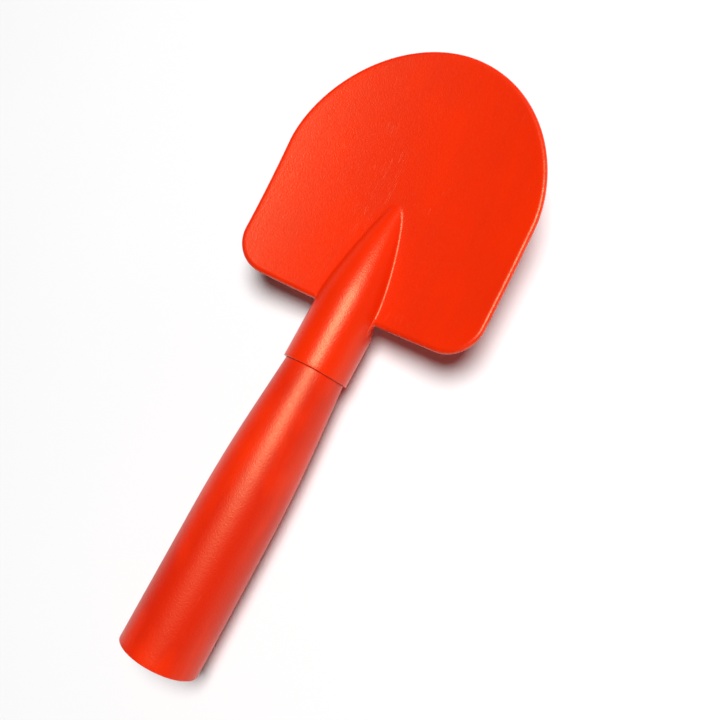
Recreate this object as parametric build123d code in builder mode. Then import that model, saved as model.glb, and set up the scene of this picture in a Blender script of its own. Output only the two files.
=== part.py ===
"""Moulded plastic hand trowel: a dished blade with a socket, a hollow handle and its end plug.

Frame: +X runs along the handle to the blade's tip, +Y across the blade, +Z out of its hollow face.
The origin is under the middle of the tool, on the surface that the handle's butt rests on.
"""
from build123d import *
from math import asin, cos, degrees, pi, radians, sin, sqrt
import os

# ---- Driving dimensions, in millimetres and degrees ----
# handle
handle_length = 111.5           # butt face to the socket's lip
butt_radius = 15.0
grip_draft = 0.25               # the grip is this much thinner at its knee than at the butt
knee_distance = 42.0            # socket's lip to the knee, where the grip draws in to the neck
knee_blend = 500.0              # long curve that softens the knee
collar_step = 1.05              # the collar stands this far out from the neck
handle_wall = 2.2
butt_edge = 0.5

# socket and spigot
socket_radius = 12.5            # outside of the collar
socket_reach = 23.7             # lip to the blade's rear edge
socket_wall = 2.0
socket_depth = 24.5
spigot_length = 22.0
spigot_clearance = 0.12
spigot_wall = 2.0
spigot_floor = 2.4
rib_count = 6                   # ribs on the spigot, crushed as it is pressed in
rib_width = 1.2
rib_clearance = 0.02
lead_in = 0.5

# blade
blade_length = 100.0
blade_width = 102.6
blade_thickness = 2.8
blade_above_axis = 2.7          # face at the rear edge, above the handle's axis
tip_rise = 13.2                 # face at the tip, above the face at the rear edge
dish_depth = 6.2                # sides of the face, above its middle
shoulder_distance = 50.0        # rear edge to where the sides start to round over
rear_corner_radius = 13.0
web_radius = 3.0                # plan radius of the webs between the rear edge and the collar
web_thickness = 2.0
nose_power_along = 1.8          # the tip's outline is a superellipse with these two powers
nose_power_across = 1.98
blade_edge = 1.3                # round on both sides of the blade's edge
trim_angle = 3.0                # the untrimmed sheet runs this far past the outline's ends
sheet_spread = 1.1              # and this many times its half width to each side

# fairing that carries the socket onto the blade
fairing_start = 3.0             # rear edge to where the collar starts to thin out
fairing_length = 45.5           # rear edge to the fairing's end, inside the blade's thickness
fairing_end_half_width = 2.0
fairing_end_half_height = 0.45
fairing_power = 1.4             # above 1, it leaves the collar without a crease, like a bullet
fairing_sections = 6            # stretches the fairing is lofted through
fairing_blend = 1.0             # round where the fairing meets the blade's face
core_wall = 2.4                 # wall round the wide end of the fairing's hollow
core_length = 25.0              # rear edge to the narrow end of that hollow
core_end_radius = 6.0
core_overlap = 0.01             # the hollow starts this far inside the bore

# end plug
plug_rim = 1.6                  # ring of the handle's end left round the plug
plug_thickness = 3.0
plug_clearance = 0.12
plug_skirt_length = 6.0
plug_skirt_wall = 1.8
plug_edge = 0.4

# ---- Places worked out from them ----
x_butt = -(handle_length + socket_reach + blade_length) / 2
x_lip = x_butt + handle_length
x_knee = x_lip - knee_distance
x_spigot_end = x_lip + spigot_length
x_rear = x_lip + socket_reach
x_shoulder = x_rear + shoulder_distance
x_tip = x_rear + blade_length
axis_height = butt_radius
face_height = axis_height + blade_above_axis

half_width = blade_width / 2
knee_radius = butt_radius - grip_draft
neck_radius = socket_radius - collar_step
bore_radius = socket_radius - socket_wall
spigot_radius = bore_radius - spigot_clearance
rib_radius = bore_radius - rib_clearance
core_radius_butt = butt_radius - handle_wall
core_radius_knee = knee_radius - handle_wall
core_radius_spigot = spigot_radius - spigot_wall

# the blade bends along its length about one far axis, and across its width about another
length_bend = (blade_length**2 + tip_rise**2) / (2 * tip_rise)
dish_bend = (half_width**2 + dish_depth**2) / (2 * dish_depth)
bend_centre = (x_rear, 0, face_height + length_bend)

along_handle = Axis((0, 0, axis_height), (1, 0, 0))
half_section = Plane(origin=(0, 0, axis_height), x_dir=(1, 0, 0), z_dir=(0, -1, 0))


def across(x, z=axis_height):
    """Plane across the tool at x, with its own x along +Y and its own y up."""
    return Plane(origin=(x, 0, z), x_dir=(0, 1, 0), z_dir=(1, 0, 0))


def mid_blade(x):
    """Height of the middle of the blade's thickness on its centre line at x."""
    face = face_height + length_bend - sqrt(length_bend**2 - (x - x_rear) ** 2)
    return face - blade_thickness / 2


def sheet_side(bend):
    """Height of the untrimmed sheet's side, from the far axis, on an arc of this radius."""
    return dish_bend - length_bend - sqrt(bend**2 - sheet_reach**2)


def nose_points(steps=8):
    """Points of the superellipse that runs from the blade's shoulder round to its tip."""
    points = []
    for step in range(steps):
        turn = pi / 2 * step / steps
        along = sin(turn) ** (2 / nose_power_along)
        side = cos(turn) ** (2 / nose_power_across)
        points.append((x_shoulder + (x_tip - x_shoulder) * along, half_width * side))
    return points + [(x_tip, 0)]


def fairing_section(run):
    """Place, half width, half height and centre height of the fairing, run of the way along it."""
    share = run**fairing_power
    half_wide = socket_radius + (fairing_end_half_width - socket_radius) * share
    half_high = socket_radius + (fairing_end_half_height - socket_radius) * share
    centre = axis_height + (mid_blade(x_fairing_end) - axis_height) * share
    return x_fairing + (x_fairing_end - x_fairing) * run, half_wide, half_high, centre


def rings(part):
    """Circular edges of a turned part, in groups from the butt's end forwards."""
    return part.edges().filter_by(GeomType.CIRCLE).group_by(Axis.X)


os.makedirs("parts", exist_ok=True)

# ---- Blade: one moulding with the socket collar and the fairing ----
sheet_turn = degrees(asin(blade_length / length_bend)) + 2 * trim_angle
sheet_reach = half_width * sheet_spread
sheet_start = Plane(
    origin=bend_centre,
    x_dir=(0, 1, 0),
    z_dir=(cos(radians(trim_angle)), 0, -sin(radians(trim_angle))),
)
x_web = x_rear - web_radius
web_side = sqrt(socket_radius**2 - (mid_blade(x_rear) - axis_height) ** 2)
web_height = mid_blade(x_rear) + dish_bend - sqrt(dish_bend**2 - web_side**2)
x_fairing = x_rear + fairing_start
x_fairing_end = x_rear + fairing_length
x_bore_end = x_lip + socket_depth
core_run = (core_length - fairing_start) / (fairing_length - fairing_start)
core_rise = (mid_blade(x_fairing_end) - axis_height) * core_run**fairing_power

with BuildPart() as blade:
    # a sheet that curves both ways: an arc across the blade, turned about the far axis above it
    with BuildSketch(sheet_start):
        with BuildLine():
            face_side = sheet_side(dish_bend)
            back_side = sheet_side(dish_bend + blade_thickness)
            face = ThreePointArc((-sheet_reach, face_side), (0, -length_bend), (sheet_reach, face_side))
            back_middle = (0, -length_bend - blade_thickness)
            back = ThreePointArc((-sheet_reach, back_side), back_middle, (sheet_reach, back_side))
            Line(face @ 0, back @ 0)
            Line(face @ 1, back @ 1)
        make_face()
    revolve(axis=Axis(bend_centre, (0, -1, 0)), revolution_arc=sheet_turn)

    # trimmed to the outline: straight rear edge, rounded corners, straight sides, nose
    with BuildSketch(Plane.XY):
        with BuildLine():
            Line((x_rear, 0), (x_rear, half_width - rear_corner_radius))
            RadiusArc(
                (x_rear, half_width - rear_corner_radius),
                (x_rear + rear_corner_radius, half_width),
                rear_corner_radius,
            )
            Line((x_rear + rear_corner_radius, half_width), (x_shoulder, half_width))
            Spline(nose_points(), tangents=[(1, 0), (0, -1)])
            mirror(about=Plane.XZ)
        make_face()
    extrude(amount=face_height + 2 * (tip_rise + dish_depth), mode=Mode.INTERSECT)
    face_and_back = blade.faces().sort_by(SortBy.AREA)[-2:]
    fillet(face_and_back.edges(), blade_edge)

    # the collar, and the fairing that thins out along the blade's face and back
    with BuildSketch(across(x_lip)):
        Circle(socket_radius)
    extrude(amount=x_fairing - x_lip)
    for step in range(fairing_sections + 1):
        place, half_wide, half_high, centre = fairing_section(step / fairing_sections)
        with BuildSketch(across(place, centre)):
            Ellipse(half_wide, half_high)
    loft()
    face_seam = blade.edges(Select.LAST).filter_by(GeomType.BSPLINE).sort_by(Axis.Z)[-1]
    fillet(face_seam, fairing_blend)

    # thin webs that round the corners between the rear edge and the collar
    with BuildSketch(Plane.XY.offset(web_height - web_thickness / 2)):
        with BuildLine():
            RadiusArc((x_web, web_side), (x_rear, web_side + web_radius), -web_radius)
            Polyline(
                (x_rear, web_side + web_radius),
                (x_rear + blade_edge, web_side + web_radius),
                (x_rear + blade_edge, bore_radius),
                (x_web, bore_radius),
                (x_web, web_side),
            )
        make_face()
        mirror(about=Plane.XZ)
    extrude(amount=web_thickness)

    # the socket's bore, and the tapered hollow that the mould's core leaves beyond it
    with BuildSketch(across(x_lip)):
        Circle(bore_radius)
    extrude(amount=socket_depth, mode=Mode.SUBTRACT)
    with BuildSketch(across(x_bore_end - core_overlap)):
        Circle(socket_radius - core_wall)
    with BuildSketch(across(x_rear + core_length, axis_height + core_rise)):
        Circle(core_end_radius)
    loft(ruled=True, mode=Mode.SUBTRACT)
    bore_mouth = rings(blade)[0].sort_by(SortBy.LENGTH)[0]
    chamfer(bore_mouth, lead_in)
blade.part.label = "blade"

# ---- Handle: hollow from the butt, with a spigot that is pressed into the socket ----
with BuildPart() as handle:
    with BuildSketch(half_section):
        with BuildLine():
            grip = FilletPolyline(
                (x_butt, butt_radius),
                (x_knee, knee_radius),
                (x_lip, neck_radius),
                radius=knee_blend,
            )
            Polyline(
                grip @ 1,
                (x_lip, spigot_radius),
                (x_spigot_end, spigot_radius),
                (x_spigot_end, 0),
                (x_butt, 0),
                grip @ 0,
            )
        make_face()
    revolve(axis=along_handle)

    # the hollow, and the seat for the plug's flange at its mouth
    with BuildSketch(half_section):
        with BuildLine():
            Polyline(
                (x_butt, 0),
                (x_butt, core_radius_butt),
                (x_knee, core_radius_knee),
                (x_lip, core_radius_spigot),
                (x_spigot_end - spigot_floor, core_radius_spigot),
                (x_spigot_end - spigot_floor, 0),
                close=True,
            )
        make_face()
    revolve(axis=along_handle, mode=Mode.SUBTRACT)
    with BuildSketch(across(x_butt)):
        Circle(butt_radius - plug_rim)
    extrude(amount=plug_thickness, mode=Mode.SUBTRACT)
    chamfer(rings(handle)[-1], lead_in)
    fillet(rings(handle)[0].sort_by(SortBy.LENGTH)[-1], butt_edge)

    # ribs along the spigot, which end short of its chamfer
    with BuildSketch(across(x_lip)):
        with PolarLocations(0, rib_count):
            Rectangle(bore_radius, rib_width, align=(Align.MIN, Align.CENTER))
        Circle(rib_radius, mode=Mode.INTERSECT)
        Circle(spigot_radius - spigot_wall / 2, mode=Mode.SUBTRACT)
    extrude(amount=spigot_length - 2 * lead_in)
handle.part.label = "handle"

# ---- End plug: a flanged disc with a short skirt, pressed into the handle's open end ----
with BuildPart() as end_plug:
    with BuildSketch(across(x_butt)):
        Circle(butt_radius - plug_rim - plug_clearance)
    extrude(amount=plug_thickness)
    with BuildSketch(across(x_butt + plug_thickness)):
        Circle(core_radius_knee - plug_clearance)
        Circle(core_radius_knee - plug_clearance - plug_skirt_wall, mode=Mode.SUBTRACT)
    extrude(amount=plug_skirt_length)
    chamfer(rings(end_plug)[-1].sort_by(SortBy.LENGTH)[-1], lead_in)
    fillet(rings(end_plug)[0], plug_edge)
end_plug.part.label = "end_plug"

for piece in (blade, handle, end_plug):
    export_step(piece.part, f"parts/{piece.part.label}.step")
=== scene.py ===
# %% [markdown]
# # A moulded plastic hand trowel
# The tool is three mouldings: a dished blade with a socket, a hollow handle that is pressed into
# it, and a plug that closes the handle's butt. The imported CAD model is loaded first. It says how
# large everything is and where it goes, and each piece below is a finer skin over one CAD solid.

import bmesh
import bpy
import numpy as np
from mathutils import Matrix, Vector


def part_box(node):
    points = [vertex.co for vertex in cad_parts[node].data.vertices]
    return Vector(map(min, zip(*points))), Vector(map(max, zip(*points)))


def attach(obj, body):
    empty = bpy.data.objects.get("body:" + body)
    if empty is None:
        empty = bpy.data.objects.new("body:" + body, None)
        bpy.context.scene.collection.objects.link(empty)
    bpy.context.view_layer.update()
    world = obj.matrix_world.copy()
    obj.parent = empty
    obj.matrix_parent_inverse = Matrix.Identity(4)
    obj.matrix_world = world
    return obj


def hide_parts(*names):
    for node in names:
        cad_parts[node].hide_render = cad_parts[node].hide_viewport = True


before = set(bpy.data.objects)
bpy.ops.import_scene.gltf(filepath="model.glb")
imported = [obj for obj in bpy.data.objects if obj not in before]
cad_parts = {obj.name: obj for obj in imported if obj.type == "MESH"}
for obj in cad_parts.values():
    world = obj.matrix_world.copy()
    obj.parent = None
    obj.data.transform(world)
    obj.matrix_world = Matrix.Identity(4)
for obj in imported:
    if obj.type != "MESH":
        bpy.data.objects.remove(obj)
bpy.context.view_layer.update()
scene = bpy.context.scene
blade_low, blade_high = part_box("blade")
handle_low, handle_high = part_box("handle")

# %% [markdown]
# ## Sizes
# The tool's ends, its width and the handle's thick end come from the boxes of the CAD nodes. A box
# can't tell a wall's thickness or how deep the blade is dished, so the other sizes are stated here,
# in metres. The fairing and the webs follow the real tool a little closer than the CAD model does.

# %% Places along the tool
mm = 0.001
butt = handle_low.x
lip = blade_low.x
tip = -butt
half_width = blade_high.y
axis_height = (handle_low.z + handle_high.z) / 2
butt_radius = (handle_high.z - handle_low.z) / 2
socket_reach = 23.7 * mm
rear = lip + socket_reach
print(f"butt {butt:.4f}, lip {lip:.4f}, rear edge {rear:.4f}, tip {tip:.4f}")

# %% Sizes of the blade
thickness = 2.8 * mm
face_height = axis_height + 2.7 * mm
tip_rise = 13.2 * mm
dish_depth = 6.2 * mm
shoulder = rear + 50 * mm
corner_radius = 13 * mm
web_reach = (4.8 * mm, 1.0 * mm)
web_power = 5
nose_powers = (1.8, 1.98)
edge_round = 1.8 * mm
wear_reach = 3.5 * mm
blade_length = tip - rear
length_bend = (blade_length**2 + tip_rise**2) / (2 * tip_rise)
dish_bend = (half_width**2 + dish_depth**2) / (2 * dish_depth)
print(f"the blade bends on {length_bend * 1000:.0f} mm along and {dish_bend * 1000:.0f} mm across")

# %% Sizes of the socket and of the fairing that carries it onto the blade
socket_radius = 12.5 * mm
bore_radius = 10.5 * mm
lip_round = 0.3 * mm
bore_end = lip + 24.5 * mm
core_end = rear + 25 * mm
core_radii = (10.1 * mm, 5.5 * mm)
web_start = rear - web_reach[0]
fairing_start = rear + 3 * mm
fairing_end = rear + 45.5 * mm
end_half_width = 2.0 * mm
end_half_height = 0.45 * mm
fairing_power = 1.4
under_slimming = 0.10
blend_reach = 1.0 * mm
blend_run_in = 3 * mm
halvings = 50

# %% [markdown]
# ## Finish
# The plastic is coloured right through and moulded against a lightly blasted steel cavity. The
# mould gives it a fine satin grain, slow waves where thick and thin walls shrank differently, and
# faint streaks along the flow of the plastic. Use adds rubbed edges, hair scratches and a few
# specks of dirt. All of these are noises on Object coordinates, so a pattern stays on its piece.
# One small class lets the maths be written as expressions.

# %% A socket that can be used in sums
class Value:
    """A number that varies over the surface. + - * ** and abs() on it add Math nodes."""

    def __init__(self, shade, socket):
        self.shade = shade
        self.socket = socket

    def _math(self, operation, first, second):
        return self.shade.node("ShaderNodeMath", {"operation": operation}, {0: first, 1: second})

    def __add__(self, other):
        return self._math("ADD", self, other)

    def __radd__(self, other):
        return self._math("ADD", other, self)

    def __sub__(self, other):
        return self._math("SUBTRACT", self, other)

    def __rsub__(self, other):
        return self._math("SUBTRACT", other, self)

    def __mul__(self, other):
        return self._math("MULTIPLY", self, other)

    def __rmul__(self, other):
        return self._math("MULTIPLY", other, self)

    def __pow__(self, other):
        return self._math("POWER", self, other)

    def __abs__(self):
        return self.shade.node("ShaderNodeMath", {"operation": "ABSOLUTE"}, {0: self})


# %% A material's node tree, with one method that adds any node
class Shade:
    """Adds nodes to the tree of one material or of the world."""

    def __init__(self, material):
        material.use_nodes = True
        self.tree = material.node_tree
        self.tree.nodes.clear()

    def node(self, kind, settings=None, inputs=None, output=0):
        """Adds a node of this kind. settings are set first, then each input takes a number, a
        colour or a Value that is linked to it. The chosen output comes back as a Value."""
        made = self.tree.nodes.new(kind)
        for name, value in (settings or {}).items():
            setattr(made, name, value)
        for key, value in (inputs or {}).items():
            if isinstance(value, Value):
                self.tree.links.new(value.socket, made.inputs[key])
            else:
                made.inputs[key].default_value = value
        return Value(self, made.outputs[output]) if made.outputs else None

    def noise(self, place, scale, detail=2.0, roughness=0.5, distortion=0.0):
        """Smooth noise from 0 to 1 with its average at 0.5."""
        inputs = {
            "Vector": place,
            "Scale": scale,
            "Detail": detail,
            "Roughness": roughness,
            "Distortion": distortion,
        }
        return self.node("ShaderNodeTexNoise", {}, inputs)

    def stretched(self, place, scale, turn=(0, 0, 0), move=(0, 0, 0)):
        """The place with each axis scaled, then turned and moved: this draws a pattern out."""
        inputs = {"Vector": place, "Scale": scale, "Rotation": turn, "Location": move}
        return self.node("ShaderNodeMapping", {}, inputs)

    def between(self, value, low, high):
        """0 below low, 1 above high, and a smooth rise from one to the other."""
        settings = {"interpolation_type": "SMOOTHSTEP"}
        inputs = {"Value": value, "From Min": low, "From Max": high}
        return self.node("ShaderNodeMapRange", settings, inputs)

    def blend(self, share, first, second):
        """first where share is 0 and second where it is 1; both are colours."""
        inputs = {"Factor": share, 6: first, 7: second}
        return self.node("ShaderNodeMix", {"data_type": "RGBA"}, inputs, output=2)


# %% [markdown]
# ### The satin plastic
# The three pieces share one recipe. Each piece gives it the height of what the mould left there:
# the parting line, the gate's stub or the rings where ejector pins pushed. Heights are in metres
# all the way through, so a Bump node with a distance of 1 gives true slopes.

# %% Colours of the plastic
body_red = (0.80, 0.0235, 0.0004, 1)
deep_red = (0.63, 0.014, 0.0008, 1)
pale_rub = (0.90, 0.085, 0.035, 1)
dust_grey = (0.62, 0.10, 0.06, 1)
dark_speck = (0.25, 0.012, 0.008, 1)
sheen_tint = (1.0, 0.74, 0.40, 1)
print("body", body_red[:3], "deep", deep_red[:3])

# %% Heights of the texture, in metres
grain_height, coarse_height = 70e-6, 13e-6
wave_height, streak_height = 60e-6, 6e-6
scratch_depth, nick_depth = 10e-6, 22e-6
print(f"the grain stands {grain_height * 1e6:.0f} micrometres high")


# %% The recipe
def satin_plastic(name, marks, flow=(1, 1, 1), rub=1.0, tone=0.25, matt=0.34):
    """Red satin polypropylene. marks(shade, place) gives the mould's marks as a height in metres,
    flow draws the streaks out along an axis, rub scales the wear, tone sets the red's depth and
    matt is the average roughness."""
    material = bpy.data.materials.new(name)
    shade = Shade(material)
    place = shade.node("ShaderNodeTexCoord", {}, {}, output=3)
    edge = shade.node("ShaderNodeAttribute", {"attribute_name": "edge"}, {}, output=2)

    clouds = shade.noise(place, 28, 3)
    streaks = shade.noise(shade.stretched(place, flow), 95, 2, 0.55, 0.4)
    grain = shade.noise(place, 1700, 2, 0.6)
    coarse_grain = shade.noise(place, 900, 1)
    waves = shade.noise(shade.stretched(place, flow), 34, 1)
    nicks = shade.noise(place, 420, 2, 0.7)

    # hair scratches: the thin zero line of a noise that is drawn out along two directions
    scratch = 0.0
    for turn, seed in ((0.5, 0.31), (-0.9, 0.77)):
        lined = shade.stretched(place, (1, 14, 1), (0, 0, turn), (seed, seed, 0))
        line = shade.noise(lined, 24, 1)
        thin = 1 - shade.between(abs(line - 0.5), 0.0005, 0.004)
        where = shade.between(shade.noise(place, 60 + 20 * seed, 1), 0.60, 0.68)
        scratch = thin * where + scratch

    # specks of dirt, far apart
    settings = {"feature": "F1", "distance": "EUCLIDEAN"}
    cell = shade.node("ShaderNodeTexVoronoi", settings, {"Vector": place, "Scale": 75.0})
    dirty = shade.between(shade.noise(place, 33, 0), 0.52, 0.60)
    speck = (1 - shade.between(cell, 0.014, 0.028)) * dirty

    worn = shade.between(edge * 1.15 + nicks * 0.9, 1.15, 1.75) * rub

    depth = shade.between(clouds * 0.6 + streaks * 0.4, 0.30, 0.72) * tone * 2
    colour = shade.blend(depth, body_red, deep_red)
    colour = shade.blend(worn * 0.55, colour, pale_rub)
    colour = shade.blend(scratch * 0.35, colour, dust_grey)
    colour = shade.blend(speck * 0.6, colour, dark_speck)

    rough = (matt + (clouds - 0.5) * 0.07 + (streaks - 0.5) * 0.06 + (coarse_grain - 0.5) * 0.12
             - worn * 0.05 + scratch * 0.10)

    height = (grain * grain_height + coarse_grain * coarse_height + waves * wave_height
              + streaks * streak_height - scratch * scratch_depth - worn * nicks * nick_depth
              + marks(shade, place))
    bump = shade.node("ShaderNodeBump", {}, {"Strength": 1.0, "Distance": 1.0, "Height": height})

    inputs = {
        "IOR": 1.5,
        "Specular IOR Level": 0.5,
        "Specular Tint": sheen_tint,
        "Base Color": colour,
        "Roughness": rough,
        "Normal": bump,
    }
    body = shade.node("ShaderNodeBsdfPrincipled", {}, inputs)
    shade.node("ShaderNodeOutputMaterial", {}, {"Surface": body})
    return material


# %% Shapes of the marks that a mould leaves
def apart(shade, place):
    """The place's x, y and z as three Values."""
    split = shade.node("ShaderNodeSeparateXYZ", {}, {"Vector": place})
    outputs = split.socket.node.outputs
    return [Value(shade, outputs[axis]) for axis in range(3)]


def ridge(shade, distance, half_width):
    """1 on a line and 0 from half_width away, where distance is the distance from the line."""
    return 1 - shade.between(abs(distance), 0.0, half_width)


def ring(shade, across_a, across_b, centre, radius, half_width):
    """1 on a circle round centre and 0 from half_width to either side of it."""
    a, b = across_a - centre[0], across_b - centre[1]
    return ridge(shade, (a * a + b * b) ** 0.5 - radius, half_width)


def disc(shade, across_a, across_b, centre, radius, soft):
    """1 inside a circle round centre, falling to 0 over the soft distance outside it."""
    a, b = across_a - centre[0], across_b - centre[1]
    return 1 - shade.between((a * a + b * b) ** 0.5, radius, radius + soft)


# %% [markdown]
# ## Meshes from grids
# Every surface here is a grid of points worked out as one array. The helper below joins grids
# into a mesh, closes the seams between them and turns the faces of the closed shell outwards.

# %% Grid helpers
def grid_faces(rows, columns, first):
    """Quads of a grid whose points are numbered row by row from first."""
    number = first + np.arange(rows * columns).reshape(rows, columns)
    corners = (number[:-1, :-1], number[1:, :-1], number[1:, 1:], number[:-1, 1:])
    return np.stack(corners, axis=-1).reshape(-1, 4)


def skin(name, grids, wear, material, node):
    """Joins grids of shape (rows, columns, 3) into one closed, smooth piece that stands for node.
    wear holds, for each grid, how much of an edge each of its points is, from 0 to 1."""
    counts = np.cumsum([0] + [grid.shape[0] * grid.shape[1] for grid in grids])
    points = np.concatenate([grid.reshape(-1, 3) for grid in grids])
    faces = np.concatenate([
        grid_faces(*grid.shape[:2], first) for grid, first in zip(grids, counts)])
    mesh = bpy.data.meshes.new(name)
    mesh.from_pydata(points.tolist(), [], faces.tolist())
    edge = mesh.attributes.new("edge", "FLOAT", "POINT")
    edge.data.foreach_set("value", np.concatenate([w.ravel() for w in wear]).astype(np.float32))
    joined = bmesh.new()
    joined.from_mesh(mesh)
    bmesh.ops.remove_doubles(joined, verts=joined.verts, dist=2e-7)
    bmesh.ops.dissolve_degenerate(joined, edges=joined.edges, dist=1e-8)
    bmesh.ops.recalc_face_normals(joined, faces=joined.faces)
    open_edges = sum(not e.is_manifold for e in joined.edges)
    joined.to_mesh(mesh)
    joined.free()
    mesh.shade_smooth()
    piece = bpy.data.objects.new(name, mesh)
    scene.collection.objects.link(piece)
    mesh.materials.append(material)
    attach(piece, "root")
    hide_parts(node)
    triangles = sum(len(p.vertices) - 2 for p in mesh.polygons)
    print(f"{name}: {triangles} triangles, {open_edges} edges that aren't closed")


# %% [markdown]
# ## The blade
# The blade is a sheet that curves both ways, and the socket runs out onto it in a tapered
# fairing. A boolean would leave a ragged seam where the two meet, so the seam is worked out as a
# curve first, and grids are stretched from it: over the fairing on one side, and out to the
# blade's edge on the other. The corner along the seam is rounded with a small curve.

# %% The sheet
def sheet_height(x, y, side):
    """Height of the sheet at x, y. Across, the sheet is an arc about a near axis; along, that arc
    swings about a far axis. side is 1 on the hollow face, -1 on the back, 0 in the middle."""
    near = dish_bend + thickness * (1 - side) / 2
    far = length_bend - dish_bend + np.sqrt(near**2 - y**2)
    return face_height + length_bend - np.sqrt(far**2 - (x - rear) ** 2)


# %% The fairing
def fairing_section(x, side):
    """Half width, half height and centre height of the fairing at x: the collar's circle up to
    its start, and from there down to a small ellipse inside the sheet. The share of the way is
    raised to a power, so that the fairing leaves the collar without a crease, like a bullet.
    Under the blade (side -1) it is a little slimmer, and steps in over the web's length."""
    share = np.clip((x - fairing_start) / (fairing_end - fairing_start), 0, 1) ** fairing_power
    end_centre = sheet_height(fairing_end, 0, 1) - thickness / 2
    half_wide = socket_radius + (end_half_width - socket_radius) * share
    half_high = socket_radius + (end_half_height - socket_radius) * share
    slim = 1 - under_slimming * (1 - side) / 2 * np.clip((x - web_start) / web_reach[0], 0, 1)
    return half_wide * slim, half_high * slim, axis_height + (end_centre - axis_height) * share


def fairing_point(x, turn, side):
    """Point of the fairing at x, turned from +Y towards +Z by this many radians."""
    half_wide, half_high, centre = fairing_section(x, side)
    y = half_wide * np.cos(turn)
    z = centre + half_high * np.sin(turn)
    return np.stack(np.broadcast_arrays(x, y, z), axis=-1)


def seam_turn(x, side):
    """Turn at which the fairing meets the sheet's face or back at x, found by halving a range
    from straight down to straight up until it is too small to matter."""
    low = np.full_like(x, -np.pi / 2)
    high = np.full_like(x, np.pi / 2)
    for _ in range(halvings):
        middle = (low + high) / 2
        point = fairing_point(x, middle, side)
        above = point[..., 2] > sheet_height(x, point[..., 1], side)
        low, high = np.where(above, low, middle), np.where(above, middle, high)
    return (low + high) / 2


def fairing_tip(side):
    """Where the fairing dives under the sheet's face or back, by halving along its length."""
    low, high = fairing_start, fairing_end
    for _ in range(halvings):
        middle = (low + high) / 2
        half_high, centre = fairing_section(middle, side)[1:]
        stands_out = side * (centre + side * half_high - sheet_height(middle, 0, side)) > 0
        low, high = (middle, high) if stands_out else (low, middle)
    return low


print(f"the fairing ends {(fairing_tip(1) - rear) * 1000:.1f} mm along the face, "
      f"{(fairing_tip(-1) - rear) * 1000:.1f} mm along the back")


# %% The outline
def outline():
    """Half of the blade's outline in plan, as points and outward directions: the web's hollow
    curve, the straight rear edge, the rounded corner, the straight side and the nose. The web and
    the nose are superellipses: their two shares of the way, each raised to a power, add up to 1."""
    def run(steps):
        return np.arange(steps) / steps

    web = run(24) * np.pi / 2
    web_side = socket_radius + web_reach[1]
    ahead, aside = np.sin(web) ** (2 / web_power), np.cos(web) ** (2 / web_power)
    out_x = -ahead ** (web_power - 1) / web_reach[0]
    out_y = aside ** (web_power - 1) / web_reach[1]
    pieces = [(web_start + web_reach[0] * ahead, web_side - web_reach[1] * aside,
               out_x / np.hypot(out_x, out_y), out_y / np.hypot(out_x, out_y))]
    straight = run(26)
    corner_side = half_width - corner_radius
    pieces.append((rear + 0 * straight, web_side + (corner_side - web_side) * straight,
                   -1 + 0 * straight, 0 * straight))
    corner = run(26) * np.pi / 2
    pieces.append((rear + corner_radius * (1 - np.cos(corner)),
                   corner_side + corner_radius * np.sin(corner), -np.cos(corner), np.sin(corner)))
    side = run(26)
    side_start = rear + corner_radius
    pieces.append((side_start + (shoulder - side_start) * side, half_width + 0 * side,
                   0 * side, 1 + 0 * side))
    nose = np.linspace(0, np.pi / 2, 81)
    along, across = nose_powers
    x = shoulder + (tip - shoulder) * np.sin(nose) ** (2 / along)
    y = half_width * np.abs(np.cos(nose)) ** (2 / across)
    y[-1] = 0
    out_x = ((x - shoulder) / (tip - shoulder)) ** (along - 1) * along / (tip - shoulder)
    out_y = (y / half_width) ** (across - 1) * across / half_width
    length = np.hypot(out_x, out_y)
    pieces.append((x, y, out_x / length, out_y / length))
    return [np.concatenate(part) for part in zip(*pieces)]


rim_x, rim_y, out_x, out_y = outline()
columns = len(rim_x)
walked = np.concatenate([[0], np.cumsum(np.hypot(np.diff(rim_x), np.diff(rim_y)))])
print(f"{columns} columns round half the blade, {walked[-1] * 1000:.0f} mm of edge")


# %% The sheet's two sides and its rim, as one grid for each half of the blade
def seam_walk(side):
    """x of the seam for each column. Along the web it gets ahead of the outline by the width of
    the rim, so that no column cuts across the rim of the next. Then it creeps while the outline
    runs out along the rear edge, and keeps pace with the rest of it."""
    at_rear = np.argmax(rim_x >= rear)
    clear_of_rim = rear + 1.2 * edge_round
    along_web = web_start + (clear_of_rim - web_start) * walked / walked[at_rear]
    share = np.clip((walked - walked[at_rear]) / (walked[-1] - walked[at_rear]), 0, 1)
    pace = 0.25 * share + 0.75 * share**1.8
    past_rear = clear_of_rim + (fairing_tip(side) - clear_of_rim) * np.sin(pace * np.pi / 2)
    return np.where(rim_x < rear, along_web, past_rear)


def room_beside(side):
    """How far the outline is from the seam straight across the blade, as far as the corner; past
    the corner there is more room than the rim could need."""
    beside = np.minimum(rim_x, rear + corner_radius)
    room = rim_y - fairing_point(beside, seam_turn(beside, side), side)[:, 1]
    return np.where(rim_x < rear + corner_radius, room, 10 * edge_round)


def rounded_corner(wall, corner, flat, steps=6):
    """Points of the curve that leaves wall towards corner and reaches flat from it: each is a mix
    of the three, weighted (1-t)^2, 2t(1-t) and t^2."""
    t = np.linspace(0, 1, steps + 1)[:, None, None]
    return (1 - t) ** 2 * wall + 2 * t * (1 - t) * corner + t**2 * flat


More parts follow.
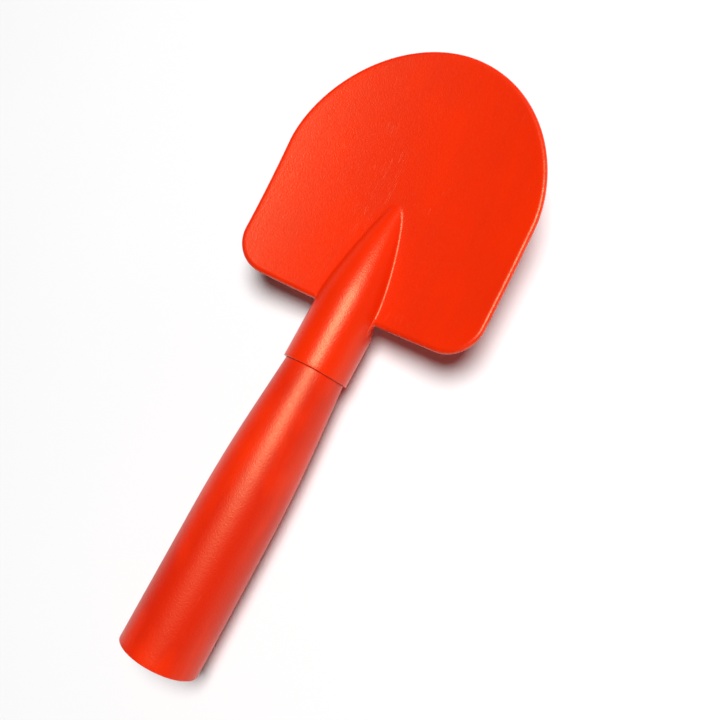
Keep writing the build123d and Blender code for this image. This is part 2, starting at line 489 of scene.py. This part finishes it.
def half_sheet(side, rows=40):
    """One side of the sheet for y above 0: rows from the fairing's wall, over the rounded
    corner, out to where the rim starts. Returns the grid, the seam's x, the turn of the first row
    and how far the last row is from the outline."""
    seam_x = seam_walk(side)
    turn = seam_turn(seam_x, side)
    seam = fairing_point(seam_x, turn, side)
    inset = np.minimum(edge_round, 0.8 * room_beside(side))
    inner_x, inner_y = rim_x - out_x * inset, rim_y - out_y * inset
    run = np.hypot(inner_x - seam_x, inner_y - seam[:, 1])
    ramp = np.clip((seam_x - web_start) / blend_run_in, 0, 1)
    reach = np.minimum(blend_reach * ramp, 0.45 * run)
    half_wide, half_high = fairing_section(seam_x, side)[:2]
    pace = np.hypot(half_wide * np.sin(turn), half_high * np.cos(turn))
    room = np.pi / 2 - side * turn
    wall_turn = turn + side * np.minimum(reach / pace, 0.6 * room)
    share = reach / np.maximum(run, 1e-9)
    flat_x = seam_x + (inner_x - seam_x) * share
    flat_y = seam[:, 1] + (inner_y - seam[:, 1]) * share
    flat = np.stack([flat_x, flat_y, sheet_height(flat_x, flat_y, side)], axis=-1)
    corner = rounded_corner(fairing_point(seam_x, wall_turn, side), seam, flat)
    t = (np.linspace(0, 1, rows)[1:, None]) ** 0.8
    x = flat_x + (inner_x - flat_x) * t
    y = flat_y + (inner_y - flat_y) * t
    spread = np.stack([x, y, sheet_height(x, y, side)], axis=-1)
    return np.concatenate([corner, spread]), seam_x, wall_turn, inset


def half_rim(inset, steps=14):
    """The rim for y above 0: half an ellipse from the face round to the back. Its reach is how far
    the sides are rounded, and its height is the sheet's thickness."""
    swing = np.linspace(np.pi / 2, -np.pi / 2, steps + 1)[1:-1, None]
    x = rim_x - out_x * inset * (1 - np.cos(swing))
    y = rim_y - out_y * inset * (1 - np.cos(swing))
    return np.stack([x, y, sheet_height(x, y, np.sin(swing))], axis=-1)


# %% Grids of the blade
face_grid, face_seam_x, face_turn, inset = half_sheet(1)
back_grid, back_seam_x, back_turn, back_inset = half_sheet(-1)
rim_grid = half_rim((inset + back_inset) / 2)
half_blade = np.concatenate([face_grid, rim_grid, back_grid[::-1]])

# the first column lies on the collar's circle, so that the collar can join it
first_turn = np.linspace(face_turn[0], back_turn[0], len(half_blade))
half_blade[:, 0] = fairing_point(np.full(len(half_blade), web_start), first_turn, 1)

# how near each point is to the blade's edge
from_edge = np.sqrt(((half_blade[..., :2] - np.stack([rim_x, rim_y], -1)) ** 2).sum(-1))
half_wear = np.clip(1 - from_edge / wear_reach, 0, 1) ** 1.5
half_wear[:, 0] = half_wear[:, 1]


def mirrored(grid):
    """The same grid on the other side of the tool's middle plane."""
    return grid * np.array([1, -1, 1])


def wall_grid(seam_x, turn, side, steps=48):
    """The fairing's surface from one seam, over or under, to the other: a column for each point
    of the seam."""
    finish = side * np.pi - turn
    share = np.linspace(0, 1, steps + 1)[:, None]
    return fairing_point(seam_x, turn + (finish - turn) * share, side)


top_wall = wall_grid(face_seam_x, face_turn, 1)
under_wall = wall_grid(back_seam_x, back_turn, -1)
print("half the sheet and its rim", half_blade.shape, "a wall", top_wall.shape)

# %% The collar, its lip and the hollow inside
collar_turns = np.concatenate([
    np.linspace(face_turn[0], np.pi - face_turn[0], 49),
    (np.pi - first_turn)[1:],
    np.linspace(np.pi - back_turn[0], 2 * np.pi + back_turn[0], 49)[1:],
    2 * np.pi + first_turn[::-1][1:],
])
quarter = np.linspace(0, np.pi / 2, 6)
collar_x = np.concatenate([
    np.linspace(web_start, lip + lip_round, 16),
    (lip + lip_round * (1 - np.sin(quarter)))[1:],
    lip + lip_round * (1 - np.cos(quarter)),
    [lip + 2 * mm, lip + 8 * mm, bore_end, bore_end, core_end, core_end],
])
collar_r = np.concatenate([
    np.full(16, socket_radius),
    (socket_radius - lip_round * (1 - np.cos(quarter)))[1:],
    bore_radius + lip_round * (1 - np.sin(quarter)),
    [bore_radius, bore_radius, bore_radius, *core_radii, 0],
])
collar_z = np.full(len(collar_x), axis_height)
collar_z[-2:] = fairing_section(core_end, 1)[2]
collar = np.stack([
    collar_x[:, None] + 0 * collar_turns,
    collar_r[:, None] * np.cos(collar_turns),
    collar_z[:, None] + collar_r[:, None] * np.sin(collar_turns),
], axis=-1)
collar_wear = np.clip(1 - np.abs(collar_x - lip) / (1.5 * mm), 0, 1)[:, None] + 0 * collar_turns
print("collar", collar.shape)


# %% The blade's own marks
pin_places = ((0.052, 0.030), (0.052, -0.030), (0.094, 0.0))


def blade_marks(shade, place):
    """On the back, three ejector pins stand a little proud; on the face, two flow fronts met in a
    faint line; on the collar's sides, the parting line shows."""
    x, y, z = apart(shade, place)
    ahead = x - rear
    flattened = z - y * y * (1 / (2 * dish_bend)) - ahead * ahead * (1 / (2 * length_bend))
    back = 1 - shade.between(
        flattened, face_height - 0.6 * thickness, face_height - 0.4 * thickness)
    pins = 0.0
    for centre in pin_places:
        pins = pins + ring(shade, x, y, centre, 3.0 * mm, 0.25 * mm) * 45e-6
        pins = pins + disc(shade, x, y, centre, 2.8 * mm, 0.2 * mm) * 25e-6
    wander = (shade.noise(place, 60, 1) - 0.5) * 2.5 * mm
    knit = ridge(shade, y + wander, 0.35 * mm) * shade.between(x, 0.075, 0.085) * -5e-6
    parting = ridge(shade, z - axis_height, 0.12 * mm) * (1 - shade.between(x, rear - 4 * mm, rear))
    return back * pins + knit + parting * 28e-6


blade_plastic = satin_plastic("blade_plastic", blade_marks, flow=(0.35, 1, 1), rub=0.8, matt=0.31)
skin(
    "blade_skin",
    [half_blade, mirrored(half_blade), top_wall, under_wall, collar],
    [half_wear, half_wear, 0 * top_wall[..., 0], 0 * under_wall[..., 0], collar_wear],
    blade_plastic, "blade",
)

# %% [markdown]
# ## The handle and its plug
# Both are bodies of revolution, so each is one profile carried round the tool's axis. The grip
# tapers to the neck along two straight runs that a very long curve joins.

# %% Turning a profile
def turned(profile_x, profile_r, around=192):
    """A grid made by turning a profile: each of its points goes once round the handle's axis."""
    turn = np.linspace(0, 2 * np.pi, around + 1)
    return np.stack([
        profile_x[:, None] + 0 * turn,
        profile_r[:, None] * np.cos(turn),
        axis_height + profile_r[:, None] * np.sin(turn),
    ], axis=-1)


def smoothed(corners, rounds, steps=7):
    """A profile with each corner replaced by a curve that starts and ends the given distance from
    it: points of the curve are mixes of start, corner and end weighted (1-t)^2, 2t(1-t), t^2."""
    corners = np.array(corners, float)
    t = np.linspace(0, 1, steps)[:, None]
    parts = [corners[:1]]
    for before, corner, after, reach in zip(corners, corners[1:], corners[2:], rounds):
        back, ahead = before - corner, after - corner
        start = corner + back * min(reach / np.hypot(*back), 0.5)
        finish = corner + ahead * min(reach / np.hypot(*ahead), 0.5)
        parts.append((1 - t) ** 2 * start + 2 * t * (1 - t) * corner + t**2 * finish)
    parts.append(corners[-1:])
    return np.concatenate(parts)


def split(profile, longest):
    """The profile with points added on its long straight runs, so that no step is longer."""
    lengths = np.hypot(*np.diff(profile, axis=0).T)
    counts = np.maximum(np.ceil(lengths / longest).astype(int), 1)
    start = np.repeat(np.arange(len(counts)), counts)
    first = np.repeat(np.cumsum(counts) - counts, counts)
    share = (np.arange(counts.sum()) - first) / counts[start]
    points = profile[start] + (profile[start + 1] - profile[start]) * share[:, None]
    return np.concatenate([points, profile[-1:]])


# %% Sizes of the handle
knee = lip - 42 * mm
knee_radius = butt_radius - 0.25 * mm
neck_radius = 11.45 * mm
spigot_radius = bore_radius - 0.12 * mm
spigot_end = lip + 22 * mm
hollow_neck = spigot_radius - 2 * mm
hollow_end = spigot_end - 2.4 * mm
plug_seat = butt_radius - 1.6 * mm
plug_depth = 3 * mm
wall = 2.2 * mm
handle_rounds = np.array([0.5, 3, 8, 0.05, 0.1, 0.12, 0.55, 19.5, 0.22, 0.1, 0.5]) * mm
print(f"knee {knee:.4f}, spigot's end {spigot_end:.4f}")

# %% The handle's profile, from the inside end of its hollow out and round to the spigot's end
handle_profile = split(smoothed(
    [
        (hollow_end, 0), (hollow_end, hollow_neck), (lip, hollow_neck),
        (knee, knee_radius - wall), (butt + plug_depth, butt_radius - wall),
        (butt + plug_depth, plug_seat), (butt, plug_seat), (butt, butt_radius),
        (knee, knee_radius), (lip, neck_radius), (lip, spigot_radius),
        (spigot_end, spigot_radius), (spigot_end, 0),
    ],
    handle_rounds,
), 2 * mm)
handle_grid = turned(handle_profile[:, 0], handle_profile[:, 1])
from_butt = np.abs(handle_profile[:, 0] - butt)
handle_wear = (np.clip(1 - from_butt / (2.5 * mm), 0, 1) ** 1.5)[:, None]
handle_wear = handle_wear + 0 * handle_grid[..., 0]
print("handle", handle_grid.shape)


# %% The handle's own marks and the handle
def handle_marks(shade, place):
    """The halves of the mould met along both sides of the handle and left a fine raised line."""
    z = apart(shade, place)[2]
    wander = (shade.noise(place, 90, 1) - 0.5) * 0.1 * mm
    return ridge(shade, z - axis_height + wander, 0.13 * mm) * 26e-6


handle_plastic = satin_plastic(
    "handle_plastic", handle_marks, flow=(0.25, 1, 1), tone=0.9, matt=0.39)
skin("handle_skin", [handle_grid], [handle_wear], handle_plastic, "handle")

# %% The plug: flange, a shallow dish on its outside, and the skirt that grips the handle's hollow
plug_clearance = 0.12 * mm
flange_radius = plug_seat - plug_clearance
skirt_radius = knee_radius - wall - plug_clearance
skirt_bore = skirt_radius - 1.8 * mm
skirt_end = butt + plug_depth + 6 * mm
dish_floor = butt + 0.5 * mm
plug_rounds = np.array([0.4, 0.4, 0.4, 0.05, 0.1, 0.5, 0.2, 0.3]) * mm
plug_profile = split(smoothed(
    [
        (dish_floor, 0), (dish_floor, 9.3 * mm), (butt, 10.0 * mm), (butt, flange_radius),
        (butt + plug_depth, flange_radius), (butt + plug_depth, skirt_radius),
        (skirt_end, skirt_radius), (skirt_end, skirt_bore),
        (butt + plug_depth, skirt_bore), (butt + plug_depth, 0),
    ],
    plug_rounds,
), 1 * mm)
plug_grid = turned(plug_profile[:, 0], plug_profile[:, 1], around=128)
plug_wear = np.clip(1 - np.abs(plug_profile[:, 1] - 11.8 * mm) / (3 * mm), 0, 1)
on_outside = plug_profile[:, 0] < butt + 0.4 * mm
plug_wear = (plug_wear * on_outside)[:, None] + 0 * plug_grid[..., 0]
print("plug", plug_grid.shape)


def plug_marks(shade, place):
    """The gate's trimmed stub stands in the middle, inside a ring that an ejector sleeve left."""
    y, z = apart(shade, place)[1:]
    centre = (0, axis_height)
    ragged = shade.noise(place, 1500, 2)
    stub = disc(shade, y, z, centre, 1.0 * mm, 0.25 * mm) * (ragged * 90e-6 + 140e-6)
    return stub + ring(shade, y, z, centre, 4.5 * mm, 0.2 * mm) * 35e-6


plug_plastic = satin_plastic("plug_plastic", plug_marks, rub=0.9, tone=0.9, matt=0.39)
skin("end_plug_skin", [plug_grid], [plug_wear], plug_plastic, "end_plug")

# %% [markdown]
# ## Camera
# The tool is seen from above with a normal lens. Three turns say how: how far the tool is turned
# in the picture, how far it is rolled towards one side, and how far its butt is pitched
# towards the camera. The camera's axes in the tool's frame are worked out from them.

# %% The camera
picture_turn, roll, pitch = np.radians([28.42, 24.72, 5.6])
lens_mm, sensor_mm = 38.0, 36.0
camera_place = np.array([-21.29, -124.6, 256.37]) * mm


def turned_in_picture(v):
    """A direction as right, up and towards the viewer, after the turn in the picture."""
    c, s = np.cos(picture_turn), np.sin(picture_turn)
    return np.array([c * v[0] + s * v[1], -s * v[0] + c * v[1], v[2]])


along = turned_in_picture((0, np.cos(pitch), -np.sin(pitch)))
right_side = turned_in_picture(
    (np.cos(roll), np.sin(roll) * np.sin(pitch), np.sin(roll) * np.cos(pitch)))
upward = turned_in_picture(
    (-np.sin(roll), np.cos(roll) * np.sin(pitch), np.cos(roll) * np.cos(pitch)))
camera_axes = np.stack([along, -right_side, upward], axis=1)

camera_data = bpy.data.cameras.new("camera")
camera_data.lens = lens_mm
camera_data.sensor_width = sensor_mm
camera_data.clip_start = 0.01
camera = bpy.data.objects.new("camera", camera_data)
scene.collection.objects.link(camera)
pose = np.eye(4)
pose[:3, :3] = camera_axes.T
pose[:3, 3] = camera_place
camera.matrix_world = Matrix(pose.tolist())
scene.camera = camera
print("camera looks along", -camera_axes[2].round(3))

# %% [markdown]
# ## Floor and light
# The floor is a pale disc far larger than the view, and ends where its light has faded to the
# tone of the walls. A broad soft light near the camera, a little to its left, puts the sheen on
# the handle. The room has pale walls, which brighten the tool's flanks, and a dark ceiling, so
# that the blade's red stays deep.

# %% The floor
floor_radius, floor_height = 1.4, -0.2 * mm
floor_sides = 96
floor_turn = np.linspace(0, 2 * np.pi, floor_sides + 1)
from_middle = np.linspace(1 * mm, floor_radius, 9)[:, None]
floor_grid = np.stack(np.broadcast_arrays(
    from_middle * np.cos(floor_turn), from_middle * np.sin(floor_turn), floor_height), axis=-1)
floor_mesh = bpy.data.meshes.new("floor")
floor_faces = grid_faces(*floor_grid.shape[:2], 0).tolist() + [list(range(floor_sides))]
floor_mesh.from_pydata(floor_grid.reshape(-1, 3).tolist(), [], floor_faces)
floor_mesh.update()
floor = bpy.data.objects.new("floor", floor_mesh)
scene.collection.objects.link(floor)
floor_material = bpy.data.materials.new("floor_paint")
floor_shade = Shade(floor_material)
floor_place = floor_shade.node("ShaderNodeTexCoord", {}, {}, output=3)
floor_tone = floor_shade.noise(floor_place, 6, 2)
floor_colour = floor_shade.blend(floor_tone, (0.80, 0.80, 0.80, 1), (0.83, 0.83, 0.83, 1))
floor_body = floor_shade.node("ShaderNodeBsdfDiffuse", {}, {"Color": floor_colour})
floor_shade.node("ShaderNodeOutputMaterial", {}, {"Surface": floor_body})
floor_mesh.materials.append(floor_material)
print(f"floor {2 * floor_radius} m across")

# %% The lights
def area_light(name, place, target, size, watts):
    """A round soft light at place, facing target."""
    data = bpy.data.lights.new(name, "AREA")
    data.shape, data.size, data.energy = "DISK", size, watts
    lamp = bpy.data.objects.new(name, data)
    scene.collection.objects.link(lamp)
    towards = np.array(target) - np.array(place)
    z = -towards / np.linalg.norm(towards)
    x = np.cross((0, 1, 0), z)
    x /= np.linalg.norm(x)
    pose = np.eye(4)
    pose[:3, 0], pose[:3, 1], pose[:3, 2], pose[:3, 3] = x, np.cross(z, x), z, place
    lamp.matrix_world = Matrix(pose.tolist())


middle = np.array([0.0, 0.0, axis_height])
picture_right, picture_up, towards_viewer = camera_axes
key_left, key_ahead = np.radians([13.0, 18.0])
ahead = np.array([np.sin(picture_turn), np.cos(picture_turn)])
left_of_handle = np.array([-ahead[1], ahead[0]])
lean = np.tan(key_left) * left_of_handle + np.tan(key_ahead) * ahead
key_direction = towards_viewer + lean[0] * picture_right + lean[1] * picture_up
key_direction /= np.linalg.norm(key_direction)
key_distance, key_size, key_watts = 2.2, 1.14, 65
area_light("key", middle + key_distance * key_direction, middle, key_size, key_watts)
print(f"key light of {key_watts} W, {key_distance} m away")

# %% The room
scene.world = bpy.data.worlds.new("room")
room = Shade(scene.world)
upness = apart(room, room.node("ShaderNodeTexCoord", {}, {}, output=0))[2]
wall_light, ceiling_light = 0.42, 0.01
high_up = room.between(upness, 0.02, 0.55)
brightness = wall_light + (ceiling_light - wall_light) * high_up
sky = room.node("ShaderNodeBackground", {}, {"Color": (1, 1, 1, 1), "Strength": brightness})
room.node("ShaderNodeOutputWorld", {}, {"Surface": sky})
scene.view_settings.view_transform = "Standard"
print(f"walls {wall_light}, ceiling {ceiling_light}")
